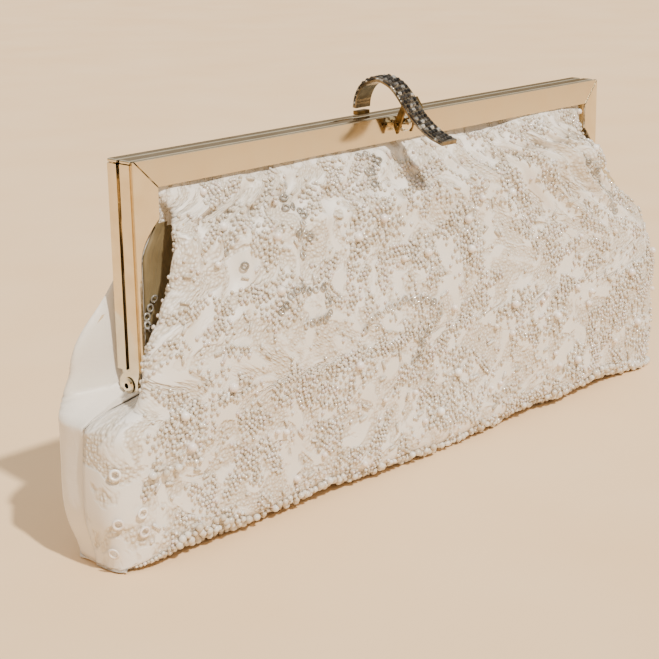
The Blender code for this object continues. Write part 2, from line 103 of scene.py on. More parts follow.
def addNode(tree, kind, inputs=(), stops=(), **settings):
    node = tree.nodes.new(kind)
    for name, value in settings.items():
        setattr(node, name, value)
    for socket, value in dict(inputs).items():
        if isinstance(value, bpy.types.NodeSocket):
            tree.links.new(value, node.inputs[socket])
        else:
            node.inputs[socket].default_value = value
    for i, (place, code) in enumerate(stops):      # the first two stops are already on the ramp
        stop = node.color_ramp.elements[i] if i < 2 else node.color_ramp.elements.new(place)
        stop.position = place
        stop.color = colour(code)
    return node


def newMaterial(name, **values):
    material = bpy.data.materials.new(name)
    material.use_nodes = True
    shader = material.node_tree.nodes["Principled BSDF"]
    for socket, value in values.items():
        shader.inputs[socket.replace("_", " ")].default_value = value
    return material, material.node_tree, shader


# Light gold plate over polished brass: a mirror with a soft haze and faint rubbing marks.
goldPlate, tree, shader = newMaterial("lightGoldPlate", Metallic=1.0, Roughness=0.12)
place = addNode(tree, "ShaderNodeTexCoord").outputs["Object"]
rub = addNode(tree, "ShaderNodeTexNoise", {"Vector": place, "Scale": 160.0, "Detail": 6.0})
tone = addNode(tree, "ShaderNodeValToRGB", {"Fac": rub.outputs["Fac"]},
               [(0.3, "#dccdb0"), (0.7, "#e8dcc2")])
tree.links.new(tone.outputs["Color"], shader.inputs["Base Color"])
haze = addNode(tree, "ShaderNodeMapRange", {"Value": rub.outputs["Fac"], "To Min": 0.07, "To Max": 0.2})
tree.links.new(haze.outputs["Result"], shader.inputs["Roughness"])
wave = addNode(tree, "ShaderNodeTexNoise", {"Vector": place, "Scale": 45.0, "Detail": 1.0})
dent = addNode(tree, "ShaderNodeBump", {"Height": wave.outputs["Fac"], "Strength": 0.06,
                                        "Distance": 0.001})
tree.links.new(dent.outputs["Normal"], shader.inputs["Normal"])

# Cast brass fittings toned dark, with brighter worn flecks scattered at random.
darkBrass, tree, shader = newMaterial("tonedCastBrass", Metallic=1.0, Roughness=0.3)
place = addNode(tree, "ShaderNodeTexCoord").outputs["Object"]
wear = addNode(tree, "ShaderNodeTexNoise", {"Vector": place, "Scale": 420.0, "Detail": 5.0})
tone = addNode(tree, "ShaderNodeValToRGB", {"Fac": wear.outputs["Fac"]},
               [(0.35, "#5c4a2e"), (0.65, "#8e7548")])
tree.links.new(tone.outputs["Color"], shader.inputs["Base Color"])
grit = addNode(tree, "ShaderNodeBump", {"Height": wear.outputs["Fac"], "Strength": 0.15,
                                        "Distance": 0.0003})
tree.links.new(grit.outputs["Normal"], shader.inputs["Normal"])

# The clasp ribbon, rhodium-flashed brass: grey gold between the stones.
ribbonMetal, tree, shader = newMaterial("rhodiumFlashedBrass", Metallic=1.0, Roughness=0.2)
place = addNode(tree, "ShaderNodeTexCoord").outputs["Object"]
rub = addNode(tree, "ShaderNodeTexNoise", {"Vector": place, "Scale": 500.0, "Detail": 4.0})
tone = addNode(tree, "ShaderNodeValToRGB", {"Fac": rub.outputs["Fac"]},
               [(0.3, "#6f6453"), (0.7, "#978b76")])
tree.links.new(tone.outputs["Color"], shader.inputs["Base Color"])
scratch = addNode(tree, "ShaderNodeBump", {"Height": rub.outputs["Fac"], "Strength": 0.1,
                                           "Distance": 0.0002})
tree.links.new(scratch.outputs["Normal"], shader.inputs["Normal"])

# The turned catch ball, buffed to a clean mirror.
ballGold, tree, shader = newMaterial("buffedBallGold", Metallic=1.0, Roughness=0.06)
place = addNode(tree, "ShaderNodeTexCoord").outputs["Object"]
rub = addNode(tree, "ShaderNodeTexNoise", {"Vector": place, "Scale": 700.0, "Detail": 4.0})
tone = addNode(tree, "ShaderNodeValToRGB", {"Fac": rub.outputs["Fac"]},
               [(0.3, "#e2d3b4"), (0.7, "#eee2c8")])
tree.links.new(tone.outputs["Color"], shader.inputs["Base Color"])
haze = addNode(tree, "ShaderNodeMapRange", {"Value": rub.outputs["Fac"], "To Min": 0.03,
                                            "To Max": 0.12})
tree.links.new(haze.outputs["Result"], shader.inputs["Roughness"])

# Marcasite-coloured cut glass: dark silver facets with hard glints.
stoneGlass, tree, shader = newMaterial("darkSilverCutGlass", Metallic=0.75, Roughness=0.08)
tint = addNode(tree, "ShaderNodeAttribute", attribute_name="tint").outputs["Fac"]
greys = [(0.0, "#2a2826"), (1.0, "#d6d3cc"), (0.65, "#57534e")]
tone = addNode(tree, "ShaderNodeValToRGB", {"Fac": tint}, greys)
tree.links.new(tone.outputs["Color"], shader.inputs["Base Color"])

# Silk satin: smooth floats that catch a broad sheen, with fine cross threads. The threads are
# drawn 0.4 mm apart, coarser than the real 0.1 mm, so that they show.
satin, tree, shader = newMaterial("ivorySilkSatin", Roughness=0.42, Sheen_Weight=0.35, Sheen_Roughness=0.35)
uv = addNode(tree, "ShaderNodeTexCoord").outputs["UV"]
cloud = addNode(tree, "ShaderNodeTexNoise", {"Vector": uv, "Scale": 28.0, "Detail": 3.0})
tone = addNode(tree, "ShaderNodeValToRGB", {"Fac": cloud.outputs["Fac"]},
               [(0.3, "#e6dccd"), (0.7, "#f1e9de")])
tree.links.new(tone.outputs["Color"], shader.inputs["Base Color"])
stretched = addNode(tree, "ShaderNodeMapping", {"Vector": uv, "Scale": (300.0, 2500.0, 1.0)})
thread = addNode(tree, "ShaderNodeTexNoise", {"Vector": stretched.outputs["Vector"], "Scale": 1.0,
                                              "Detail": 2.0})
weave = addNode(tree, "ShaderNodeBump", {"Height": thread.outputs["Fac"], "Strength": 0.12,
                                         "Distance": 0.0004})
crush = addNode(tree, "ShaderNodeTexNoise", {"Vector": uv, "Scale": 90.0, "Detail": 4.0,
                                             "Distortion": 1.2})
under = weave.outputs["Normal"]
creased = {"Height": crush.outputs["Fac"], "Strength": 0.35, "Distance": 0.0012, "Normal": under}
crease = addNode(tree, "ShaderNodeBump", creased)
tree.links.new(crease.outputs["Normal"], shader.inputs["Normal"])

# Corded lace laid over the satin: raised threads 1.3 mm apart inside soft flower patches, so bare satin lanes
# wind between denser, warmer ground, lightest on each raised cord and darker in the hollows around it:
# painted shade between the cords.
lace, tree, shader = newMaterial("cordedLaceWithPaintedShade", Roughness=0.45, Sheen_Weight=0.3, Sheen_Roughness=0.35)
uv = addNode(tree, "ShaderNodeTexCoord").outputs["UV"]
petal = addNode(tree, "ShaderNodeTexNoise", {"Vector": uv, "Scale": 62.0, "Detail": 2.0,
                                             "Distortion": 1.6})
patch = addNode(tree, "ShaderNodeMapRange", {"Value": petal.outputs["Fac"], "From Min": 0.44,
                                             "From Max": 0.55})
grain = addNode(tree, "ShaderNodeTexVoronoi", {"Vector": uv, "Scale": 720.0, "Randomness": 0.7})
# Lightest on the raised cords and darker in the hollows between them: painted shade.
cordToneAndHollowShade = addNode(tree, "ShaderNodeValToRGB", {"Fac": grain.outputs["Distance"]},
                 [(0.1, "#f7f1e8"), (0.55, "#d6cab8")])
silk = addNode(tree, "ShaderNodeTexNoise", {"Vector": uv, "Scale": 30.0, "Detail": 3.0})
plain = addNode(tree, "ShaderNodeValToRGB", {"Fac": silk.outputs["Fac"]},
                [(0.3, "#eae2d7"), (0.7, "#f4efe8")])
laid = {"Factor": patch.outputs["Result"], 6: plain.outputs["Color"], 7: cordToneAndHollowShade.outputs["Color"]}
both = addNode(tree, "ShaderNodeMix", laid, data_type="RGBA")
tree.links.new(both.outputs[2], shader.inputs["Base Color"])
raised = addNode(tree, "ShaderNodeMath", {0: grain.outputs["Distance"], 1: -1.0}, operation="MULTIPLY")
masked = {0: raised.outputs[0], 1: patch.outputs["Result"]}
inPatch = addNode(tree, "ShaderNodeMath", masked, operation="MULTIPLY")
cord = addNode(tree, "ShaderNodeBump", {"Height": inPatch.outputs[0], "Strength": 0.9,
                                        "Distance": 0.0009})
tree.links.new(cord.outputs["Normal"], shader.inputs["Normal"])

# Drawn glass seed beads, champagne to clear: each one a wet-looking dot with its own tone.
seedGlass, tree, shader = newMaterial("champagneSeedGlass", Roughness=0.14, Transmission_Weight=0.2,
                                      Coat_Weight=0.8, Coat_Roughness=0.04)
tint = addNode(tree, "ShaderNodeAttribute", attribute_name="tint").outputs["Fac"]
champagnes = [(0.0, "#cfc0a8"), (1.0, "#fdfaf5"), (0.3, "#e6dccb"), (0.7, "#f3ece1"), (0.85, "#f0e0d8")]
tone = addNode(tree, "ShaderNodeValToRGB", {"Fac": tint}, champagnes)
tree.links.new(tone.outputs["Color"], shader.inputs["Base Color"])

# Larger pressed glass beads, milky ivory and slightly see-through at the rim.
milkGlass, tree, shader = newMaterial("milkyPressedGlass", Roughness=0.14, Transmission_Weight=0.2,
                                      Coat_Weight=0.8, Coat_Roughness=0.04)
tint = addNode(tree, "ShaderNodeAttribute", attribute_name="tint").outputs["Fac"]
tone = addNode(tree, "ShaderNodeValToRGB", {"Fac": tint},
               [(0.0, "#dccfba"), (1.0, "#fbf7f0"), (0.5, "#efe7da")])
tree.links.new(tone.outputs["Color"], shader.inputs["Base Color"])

# Imitation pearls: nacre lacquer over glass, white with a soft glow and a faint rose cast.
pearl, tree, shader = newMaterial("pearlLacquer", Roughness=0.22, Sheen_Weight=0.25,
                                  Coat_Weight=0.6, Coat_Roughness=0.1)
tint = addNode(tree, "ShaderNodeAttribute", attribute_name="tint").outputs["Fac"]
tone = addNode(tree, "ShaderNodeValToRGB", {"Fac": tint},
               [(0.0, "#efe4d6"), (1.0, "#fbf7f1"), (0.5, "#f3e6e0")])
tree.links.new(tone.outputs["Color"], shader.inputs["Base Color"])

# Clear film ring sequins: they show as grey outlines with a bright edge.
sequinFilm, tree, shader = newMaterial("clearSequinFilm", Roughness=0.12, Metallic=0.35, Coat_Weight=0.8)
tint = addNode(tree, "ShaderNodeAttribute", attribute_name="tint").outputs["Fac"]
tone = addNode(tree, "ShaderNodeValToRGB", {"Fac": tint},
               [(0.0, "#8f8a80"), (1.0, "#e9e6df"), (0.5, "#b9b4aa")])
tree.links.new(tone.outputs["Color"], shader.inputs["Base Color"])

# The satin inside the side folds, where it lines the gusset: olive gold, painted darker as the shade in the
# deep fold beside the arm.
shadedFoldSatin, tree, shader = newMaterial("foldSatinWithPaintedShade", Roughness=0.5, Sheen_Weight=0.15)
uv = addNode(tree, "ShaderNodeTexCoord").outputs["UV"]
cloud = addNode(tree, "ShaderNodeTexNoise", {"Vector": uv, "Scale": 60.0, "Detail": 3.0})
tone = addNode(tree, "ShaderNodeValToRGB", {"Fac": cloud.outputs["Fac"]},
               [(0.3, "#6c5c3c"), (0.7, "#8f7e5a")])
tree.links.new(tone.outputs["Color"], shader.inputs["Base Color"])
stretched = addNode(tree, "ShaderNodeMapping", {"Vector": uv, "Scale": (700.0, 90.0, 1.0)})
thread = addNode(tree, "ShaderNodeTexNoise", {"Vector": stretched.outputs["Vector"], "Scale": 1.0})
weave = addNode(tree, "ShaderNodeBump", {"Height": thread.outputs["Fac"], "Strength": 0.5,
                                         "Distance": 0.0006})
tree.links.new(weave.outputs["Normal"], shader.inputs["Normal"])

# Lining sateen in warm champagne, thin and softly creased.
sateen, tree, shader = newMaterial("champagneLiningSateen", Roughness=0.5, Sheen_Weight=0.3)
uv = addNode(tree, "ShaderNodeTexCoord").outputs["UV"]
cloud = addNode(tree, "ShaderNodeTexNoise", {"Vector": uv, "Scale": 40.0, "Detail": 3.0})
tone = addNode(tree, "ShaderNodeValToRGB", {"Fac": cloud.outputs["Fac"]},
               [(0.3, "#b79c70"), (0.7, "#d2ba8e")])
tree.links.new(tone.outputs["Color"], shader.inputs["Base Color"])
stretched = addNode(tree, "ShaderNodeMapping", {"Vector": uv, "Scale": (2200.0, 260.0, 1.0)})
thread = addNode(tree, "ShaderNodeTexNoise", {"Vector": stretched.outputs["Vector"], "Scale": 1.0})
weave = addNode(tree, "ShaderNodeBump", {"Height": thread.outputs["Fac"], "Strength": 0.2,
                                         "Distance": 0.0003})
tree.links.new(weave.outputs["Normal"], shader.inputs["Normal"])

# Grey pulp board with long loose fibres.
board, tree, shader = newMaterial("greyPulpBoard", Roughness=0.85)
place = addNode(tree, "ShaderNodeTexCoord").outputs["Object"]
fibre = addNode(tree, "ShaderNodeTexNoise", {"Vector": place, "Scale": 350.0, "Detail": 8.0,
                                             "Distortion": 2.0})
tone = addNode(tree, "ShaderNodeValToRGB", {"Fac": fibre.outputs["Fac"]},
               [(0.35, "#8d8577"), (0.65, "#b3ab9b")])
tree.links.new(tone.outputs["Color"], shader.inputs["Base Color"])
rough = addNode(tree, "ShaderNodeBump", {"Height": fibre.outputs["Fac"], "Strength": 0.3,
                                         "Distance": 0.0003})
tree.links.new(rough.outputs["Normal"], shader.inputs["Normal"])

# Twisted kraft paper cord that packs the frame's channel: brown, with a 2 mm twist.
paper, tree, shader = newMaterial("twistedKraftPaper", Roughness=0.9)
place = addNode(tree, "ShaderNodeTexCoord").outputs["Object"]
lay = {"Vector": place, "Scale": 160.0, "Distortion": 1.0}
twist = addNode(tree, "ShaderNodeTexWave", lay, bands_direction="DIAGONAL")
tone = addNode(tree, "ShaderNodeValToRGB", {"Fac": twist.outputs["Fac"]},
               [(0.2, "#8a6c48"), (0.8, "#b4956b")])
tree.links.new(tone.outputs["Color"], shader.inputs["Base Color"])
ridge = addNode(tree, "ShaderNodeBump", {"Height": twist.outputs["Fac"], "Strength": 0.5,
                                         "Distance": 0.0003})
tree.links.new(ridge.outputs["Normal"], shader.inputs["Normal"])

# Painted table top, matt and pale, with a barely visible mottle.
tableTop, tree, shader = newMaterial("paleMattPaint", Roughness=0.7)
place = addNode(tree, "ShaderNodeTexCoord").outputs["Object"]
mottle = addNode(tree, "ShaderNodeTexNoise", {"Vector": place, "Scale": 9.0, "Detail": 4.0})
tone = addNode(tree, "ShaderNodeValToRGB", {"Fac": mottle.outputs["Fac"]},
               [(0.3, "#edc99b"), (0.7, "#f1d1a7")])
tree.links.new(tone.outputs["Color"], shader.inputs["Base Color"])

for name, material in (
    ("front_top_rail", goldPlate), ("front_left_arm", goldPlate), ("front_right_arm", goldPlate),
    ("rear_top_rail", goldPlate), ("rear_left_arm", goldPlate), ("rear_right_arm", goldPlate),
    ("hinge_rivet_left", goldPlate), ("hinge_rivet_right", goldPlate), ("clasp_ribbon", ribbonMetal),
    ("clasp_yoke", darkBrass), ("clasp_pin", darkBrass), ("clasp_keeper", darkBrass),
    ("clasp_ball", ballGold), ("base_board", board),
    ("front_paper_cord", paper), ("rear_paper_cord", paper),
):
    nodes[name].data.materials.clear()
    nodes[name].data.materials.append(material)
print("materials made")


def smooth(low, high, value):
    # 0 below low, 1 above high, and an even climb between them.
    t = min(max((value - low) / (high - low), 0.0), 1.0)
    return t * t * (3 - 2 * t)


def between(rows, z):
    # rows: height and measure, read off with soft turns.
    for (low, a), (high, b) in zip(rows, rows[1:]):
        if z <= high:
            return a + (b - a) * smooth(low, high, z)
    return rows[-1][1]


# Half lengths and reaches of the cloth at a number of heights, from the table up to the frame.
shell = {
    "columns": 220,
    "rows": 84,
    "frontLeft": ((0.0, 0.1462), (0.0216, 0.1497), (0.044, 0.1478), (0.0475, 0.1460), (0.0515, 0.1402),
                  (0.058, 0.1384), (0.066, 0.1366), (0.072, 0.1335), (0.079, 0.1280), (0.088, 0.1220),
                  (0.104, 0.1195), (0.1176, 0.1150)),
    "frontRight": ((0.0, 0.1535), (0.0216, 0.1585), (0.046, 0.1580), (0.060, 0.1530), (0.098, 0.1260),
                   (0.1086, 0.1150), (0.1176, 0.1150)),
    "rearLeft": ((0.0, 0.1462), (0.0216, 0.150), (0.0459, 0.1485), (0.060, 0.1430), (0.098, 0.1210),
                 (0.1086, 0.1145), (0.1176, 0.1148)),
    "rearRight": ((0.0, 0.1535), (0.0216, 0.1585), (0.046, 0.1575), (0.060, 0.1520), (0.098, 0.1250),
                  (0.1086, 0.1150), (0.1176, 0.1150)),
    "frontReach": ((0.0, 0.0225), (0.0135, 0.0238), (0.0432, 0.0248), (0.060, 0.0243), (0.098, 0.0200),
                   (0.1076, 0.0140), (0.1146, 0.0098), (0.1176, 0.0062)),
    "rearReach": ((0.0, 0.0110), (0.0135, 0.0150), (0.0432, 0.0170), (0.098, 0.0137), (0.1086, 0.0095),
                  (0.1146, 0.0062), (0.1176, 0.0036)),
    "seamTop": 0.0465,            # where the side seam ends, under the hinge
    "archFrom": 0.0530,           # from here up the cloth hangs from the arm
    "foldDepth": 0.0150,          # how far the side fold is pushed in beside the frame's arm
    "rearFoldDepth": 0.0070,
    "liningGap": 0.0030,          # the linings hang this far inside the shells
}


def ringAt(side, hand, z):
    # Half of a level cut through the front (-1) or rear (1) cloth, from its left (-1) or right (1)
    # edge to the middle.
    front = side < 0
    length = between(shell[("front" if front else "rear") + ("Left" if hand < 0 else "Right")], z)
    reach = between(shell["frontReach" if front else "rearReach"], z)
    square = 0.24 + 0.16 * smooth(hinge, throat, z)
    low = 0.0060 if front else -0.0056
    channel = 0.0052 if front else 0.0032
    atArm = smooth(shell["seamTop"], shell["archFrom"], z)
    edge = low + (channel - low) * atArm
    bulge = np.concatenate([np.linspace(0.0, 0.82, 24), 1 - 0.18 * np.linspace(1, 0, 60)[1:] ** 2.2])
    sine = bulge ** (1 / (1.45 * square))
    cosine = np.sqrt(np.clip(1 - sine ** 2, 0, 1))
    x = length * cosine ** square
    y = edge + (reach - edge) * bulge
    # Beside the arm the cloth comes out of the channel, dips inwards and climbs to its ridge.
    fold = smooth(shell["seamTop"] + 0.004, shell["archFrom"] + 0.012, z) * (1 - smooth(0.102, 0.1165, z))
    depth = shell["foldDepth" if front else "rearFoldDepth"] * fold
    armX = armOut - 0.0038 - 0.0060 * smooth(0.094, 0.108, z)
    seam = between(shell["rear" + ("Left" if hand < 0 else "Right")], z)
    start = seam + (armX - seam) * atArm
    wall = bulge < 0.80
    share = bulge[wall] / 0.80
    ease = share * share * (3 - 2 * share)
    dip = np.sin(np.pi * np.minimum(share * 1.25, 1) ** 0.62) ** 0.9
    x[wall] = x[wall] * ease + start * (1 - ease) - depth * dip
    return np.stack([x, side * y], axis=1)


def evenly(points, count):
    # The same line with its points spaced evenly along it.
    steps = np.concatenate([[0], np.cumsum(np.linalg.norm(np.diff(points, axis=0), axis=1))])
    at = np.linspace(0, steps[-1], count)
    return np.stack([np.interp(at, steps, points[:, i]) for i in range(points.shape[1])], axis=1)


def clothGrid(side, low, high, rows=shell["rows"]):
    columns = shell["columns"]
    grid = np.zeros((rows, columns, 3))
    for r, z in enumerate(np.linspace(low, high, rows)):
        left, right = ringAt(side, -1, z), ringAt(side, 1, z)
        whole = np.concatenate([left * (-1, 1), right[::-1][1:]])
        grid[r, :, :2] = evenly(whole, columns)
        grid[r, :, 2] = z
    for _ in range(3):
        grid[:, 1:-1] = (grid[:, :-2] + 2 * grid[:, 1:-1] + grid[:, 2:]) / 4
    return grid


def outward(grid, side):
    # The outward direction at each point of the cloth.
    along = np.gradient(grid, axis=1)
    up = np.gradient(grid, axis=0)
    normal = np.cross(along, up) * -side
    return normal / np.maximum(np.linalg.norm(normal, axis=2, keepdims=True), 1e-12)


def clothObject(name, grid, side, material):
    rows, columns = grid.shape[:2]
    faces = []
    for r in range(rows - 1):
        for c in range(columns - 1):
            a = r * columns + c
            corners = (a, a + 1, a + columns + 1, a + columns)
            faces.append(corners if side < 0 else corners[::-1])
    mesh = bpy.data.meshes.new(name)
    mesh.from_pydata(grid.reshape(-1, 3).tolist(), [], faces)
    piece = bpy.data.objects.new(name, mesh)
    bpy.context.collection.objects.link(piece)
    # The UV map is the cloth laid flat, in metres.
    middle = np.linalg.norm(np.diff(grid[rows // 2], axis=0), axis=1).sum()
    spread = (np.arange(columns) / (columns - 1) - 0.5) * middle
    rise = np.linalg.norm(np.diff(grid[:, columns // 2], axis=0), axis=1)
    lift = np.concatenate([[0], np.cumsum(rise)])
    layer = mesh.uv_layers.new(name="cloth")
    index = np.zeros(len(mesh.loops), int)
    mesh.loops.foreach_get("vertex_index", index)
    uv = np.stack([spread[index % columns], lift[index // columns]], axis=1)
    layer.data.foreach_set("uv", uv.ravel())
    mesh.materials.append(material)
    mesh.polygons.foreach_set("use_smooth", [True] * len(mesh.polygons))
    return piece


def select(piece):
    bpy.ops.object.select_all(action="DESELECT")
    piece.select_set(True)
    bpy.context.view_layer.objects.active = piece


def thicken(piece, thickness):
    select(piece)
    wall = piece.modifiers.new("thickness", "SOLIDIFY")
    wall.thickness = thickness
    wall.offset = -1
    bpy.ops.object.modifier_apply(modifier=wall.name)
    return piece


def ripple(grid, side, scale, height, seed):
    # Soft uneven swells in the cloth, the same each run.
    rows, columns = grid.shape[:2]
    swell = np.zeros((rows, columns))
    for r in range(rows):
        for c in range(columns):
            x, y, z = grid[r, c]
            swell[r, c] = noise.noise(Vector((x * scale + seed, y * scale, z * scale * 0.8)))
    return grid + outward(grid, side) * (swell * height)[:, :, None]


# The beaded front hangs from the frame in soft gathers and rolls under at the bottom.
front = {
    "rollTop": 0.0095,
    "rollIn": 0.0088,
    "rollLimit": 0.030,           # above this the roll leaves the cloth as it is
    "rollSteps": 7,
    "cornerSpan": 0.045,
    "cornerTop": 0.0016,
    "cornerReach": 0.0105,
    "foot": 0.0007,
    "lowest": 0.0005,
    "swell": (26.0, 0.0022, 3.0),
    "dimple": (75.0, 0.0007, 11.0),
    "gather": 0.0011,
    "gathers": 26,
    "thickness": 0.0008,
}


def rollUnder(grid, side, rollIn, steps):
    # Remaps the lowest part of the cloth, so that it curls under in the middle and reaches the table
    # at the corners.
    rows, columns = grid.shape[:2]
    low = grid[0]
    half = np.abs(grid[0, :, 0]).max()
    inner = np.clip((half - np.abs(low[:, 0])) / front["cornerSpan"], 0, 1)
    inner = inner * inner * (3 - 2 * inner)
    top = front["cornerTop"] + (front["rollTop"] - front["cornerTop"]) * inner
    limit = front["rollLimit"]
    z = grid[:, :, 2]
    part = (z - front["rollTop"]) / (limit - front["rollTop"])
    grid[:, :, 2] = np.where(z < limit, top[None] + part * (limit - top[None]), z)
    added = []
    for step in range(steps, 0, -1):
        angle = step / steps * math.pi / 2
        row = grid[0].copy()
        reach = np.abs(low[:, 1])
        target = np.minimum(reach, rollIn + (1 - inner) * front["cornerReach"])
        row[:, 1] = (side * (target + (reach - target) * math.cos(angle))
                     * np.sign(side * low[:, 1] + 1e-9))
        row[:, 2] = top - (top - front["foot"]) * math.sin(angle)
        added.append(row)
    return np.concatenate([np.array(added), grid])


frontGrid = clothGrid(-1, front["rollTop"], throat + 0.0012)
frontGrid = rollUnder(frontGrid, -1, front["rollIn"], front["rollSteps"])
rows, columns = frontGrid.shape[:2]
frontGrid = ripple(frontGrid, -1, *front["swell"])
frontGrid = ripple(frontGrid, -1, *front["dimple"])
heights = frontGrid[:, :, 2]
# The gathers run down from the frame, wander a little and die out half way.
wander = 2.2 * np.sin(heights * 60 + np.linspace(0, 9, columns)[None])
phase = np.linspace(0, front["gathers"] * 2 * np.pi, columns)[None] + wander
fade = np.clip((heights - 0.062) / 0.035, 0, 1) * np.clip((throat - 0.001 - heights) / 0.006, 0, 1)
fromEnd = np.minimum(np.arange(columns), columns - 1 - np.arange(columns))
ends = np.clip((fromEnd - 16) / 20, 0, 1)[None]
outer = 0.7 + 1.1 * np.clip((np.abs(frontGrid[:, :, 0]) - 0.05) / 0.06, 0, 1)
pleats = front["gather"] * fade * ends * outer * (np.sin(phase) + 0.6 * np.sin(phase * 0.37 + 1.0))
frontGrid = frontGrid + outward(frontGrid, -1) * pleats[:, :, None]
frontGrid[:, :, 2] = np.maximum(frontGrid[:, :, 2], front["lowest"])
frontCloth = clothObject("beadedFrontCloth", frontGrid, -1, lace)
frontCloth.data.materials.append(shadedFoldSatin)
# From the arm to just past the fold's deepest line the faces take the fold's satin with its painted shade.
foldShadeEnd = []
for r in range(rows):
    pair = []
    for edge in (np.abs(frontGrid[r, :40, 0]), np.abs(frontGrid[r, ::-1, 0])[:40]):
        deepest = int(np.argmin(edge[:24]))
        height = frontGrid[r, 0, 2]
        reachIn = 1.45 * smooth(0.051, 0.056, height) * (1 - smooth(0.098, 0.108, height))
        pair.append(int(deepest * reachIn))
    foldShadeEnd.append(pair)
for number, face in enumerate(frontCloth.data.polygons):
    r, c = divmod(number, columns - 1)
    face.material_index = int(c < foldShadeEnd[r][0] or c > columns - 2 - foldShadeEnd[r][1])
thicken(frontCloth, front["thickness"])
print("front cloth draped")

# Plain satin back, lapped under the front at the side seams.
rear = {
    "low": 0.0016,
    "lowest": 0.0006,
    "swell": (24.0, 0.0018, 21.0),
    "dimple": (70.0, 0.0007, 31.0),
    "thickness": 0.0008,
}
rearGrid = clothGrid(1, rear["low"], throat + 0.0012)
rearGrid = ripple(rearGrid, 1, *rear["swell"])
rearGrid = ripple(rearGrid, 1, *rear["dimple"])
rearGrid[:, :, 2] = np.maximum(rearGrid[:, :, 2], rear["lowest"])
rearCloth = thicken(clothObject("satinRearCloth", rearGrid, 1, satin), rear["thickness"])
print("rear cloth draped")

# Linings follow the shells 3 mm further in, and start where the side folds are deepest.
lining = {
    "low": 0.0068,
    "high": throat - 0.0035,
    "columns": 120,
    "rows": 50,
    "thickness": 0.0005,
}
linings = []
for side, name in ((-1, "frontLining"), (1, "rearLining")):
    outside = clothGrid(side, lining["low"], lining["high"], lining["rows"])
    inside = outside - outward(outside, side) * shell["liningGap"]
    grid = np.zeros((lining["rows"], lining["columns"], 3))
    for r in range(lining["rows"]):
        atArm = smooth(shell["seamTop"], shell["archFrom"] + 0.006, inside[r, 0, 2])
        bothEnds = (inside[r, :26, 0], inside[r, ::-1, 0][:26])
        skip = [int(round(np.argmin(np.abs(edge)) * atArm)) for edge in bothEnds]
        grid[r] = evenly(inside[r, skip[0]:len(inside[r]) - skip[1]], lining["columns"])
    grid = ripple(grid, side, 40.0, 0.0005, 41.0 + side)
    if side > 0:
        liningGrid = grid
    linings.append(thicken(clothObject(name, grid, side, sateen), lining["thickness"]))

# A flat pocket sewn to the back lining, open along its top edge.
pocket = {"room": 0.0036, "lift": 0.0010, "thickness": 0.0006, "rows": 30, "columns": 60}
pocketWidth = pocketBox[1][0] - pocketBox[0][0]
pocketRows = []
for z in np.linspace(pocketBox[0][2], pocketBox[1][2], pocket["rows"]):
    r = min(np.searchsorted(liningGrid[:, lining["columns"] // 2, 2], z), len(liningGrid) - 1)
    row = []
    for x in np.linspace(pocketBox[0][0], pocketBox[1][0], pocket["columns"]):
        y = np.interp(x, liningGrid[r, :, 0], liningGrid[r, :, 1])
        widthwise = math.sin(math.pi * (x - pocketBox[0][0]) / pocketWidth) ** 0.3
        up = (z - pocketBox[0][2]) / (pocketBox[1][2] - pocketBox[0][2])
        bow = pocket["room"] * widthwise * min(1, up * 3) * (0.6 + 0.4 * up)
        row.append((x, y - pocket["lift"] - bow, z))
    pocketRows.append(row)
pocketGrid = np.array(pocketRows)
pocketCloth = thicken(clothObject("slipPocket", pocketGrid, 1, sateen), pocket["thickness"])
print("linings and pocket made")

# The pleated gussets fold into the bag between the two arms.
gusset = {
    "low": shell["seamTop"],
    "high": 0.1120,
    "deepOver": 0.034,            # it folds in to its full depth over this height
    "crease": -gussetBox[1][0] + 0.0012,
    "rows": 36,
    "columns": 20,
    "thickness": 0.0005,
}
gussets = {}
for side, way in ((-1, "front"), (1, "rear")):
    for hand, word in ((-1, "Left"), (1, "Right")):
        rowsOut = []
        edges = {}
        for name, grid in (("front", frontGrid), ("rear", rearGrid)):
            c = 0 if hand < 0 else columns - 1
            edges[name] = grid[:, c]
        for z in np.linspace(gusset["low"], gusset["high"], gusset["rows"]):
            deep = smooth(gusset["low"] - 0.001, gusset["low"] + gusset["deepOver"], z)
            x0, y0 = (np.interp(z, edges[way][:, 2], edges[way][:, k]) for k in (0, 1))
            middle = sum(np.interp(z, edges[name][:, 2], edges[name][:, 1]) for name in edges) / 2
            row = []
            for t in np.linspace(0, 1, gusset["columns"]):
                x = x0 + (hand * gusset["crease"] - x0) * t * deep
                y = middle + side * 0.0003 + 0.78 * (y0 - middle) * (1 - t) ** 0.8
                y += side * 0.0004 * math.sin(z * 300 + t * 6) * t * (1 - t)
                row.append((x, y, z))
            rowsOut.append(row if hand < 0 else row[::-1])
        piece = clothObject(way + word + "Gusset", np.array(rowsOut), side, satin)
        gussets[way, hand] = thicken(piece, gusset["thickness"])

# The base cloth closes the bottom between the front roll and the back's foot.
base = {"thickness": 0.0006, "columns": 90, "rows": 16, "height": 0.0007, "bow": 0.0006}
baseRows = []
half = shell["frontLeft"][0][1] - 0.0006
for t in np.linspace(0, 1, base["rows"]):
    row = []
    for x in np.linspace(-half, half, base["columns"]):
        corner = 1 - min(max((half - abs(x)) / front["cornerSpan"], 0), 1)
        near = -(front["rollIn"] + front["cornerReach"] * corner * corner * (3 - 2 * corner)) + 0.0006
        far = baseBox[1][1]
        end = math.sqrt(max(0.0, 1 - (abs(x) / half) ** 30))
        y = (near + (far - near) * t) * (0.4 + 0.6 * end)
        row.append((x, y, base["height"] + base["bow"] * math.sin(math.pi * t)))
    baseRows.append(row)
baseCloth = thicken(clothObject("baseCloth", np.array(baseRows), -1, satin), base["thickness"])
print("gussets and base made")


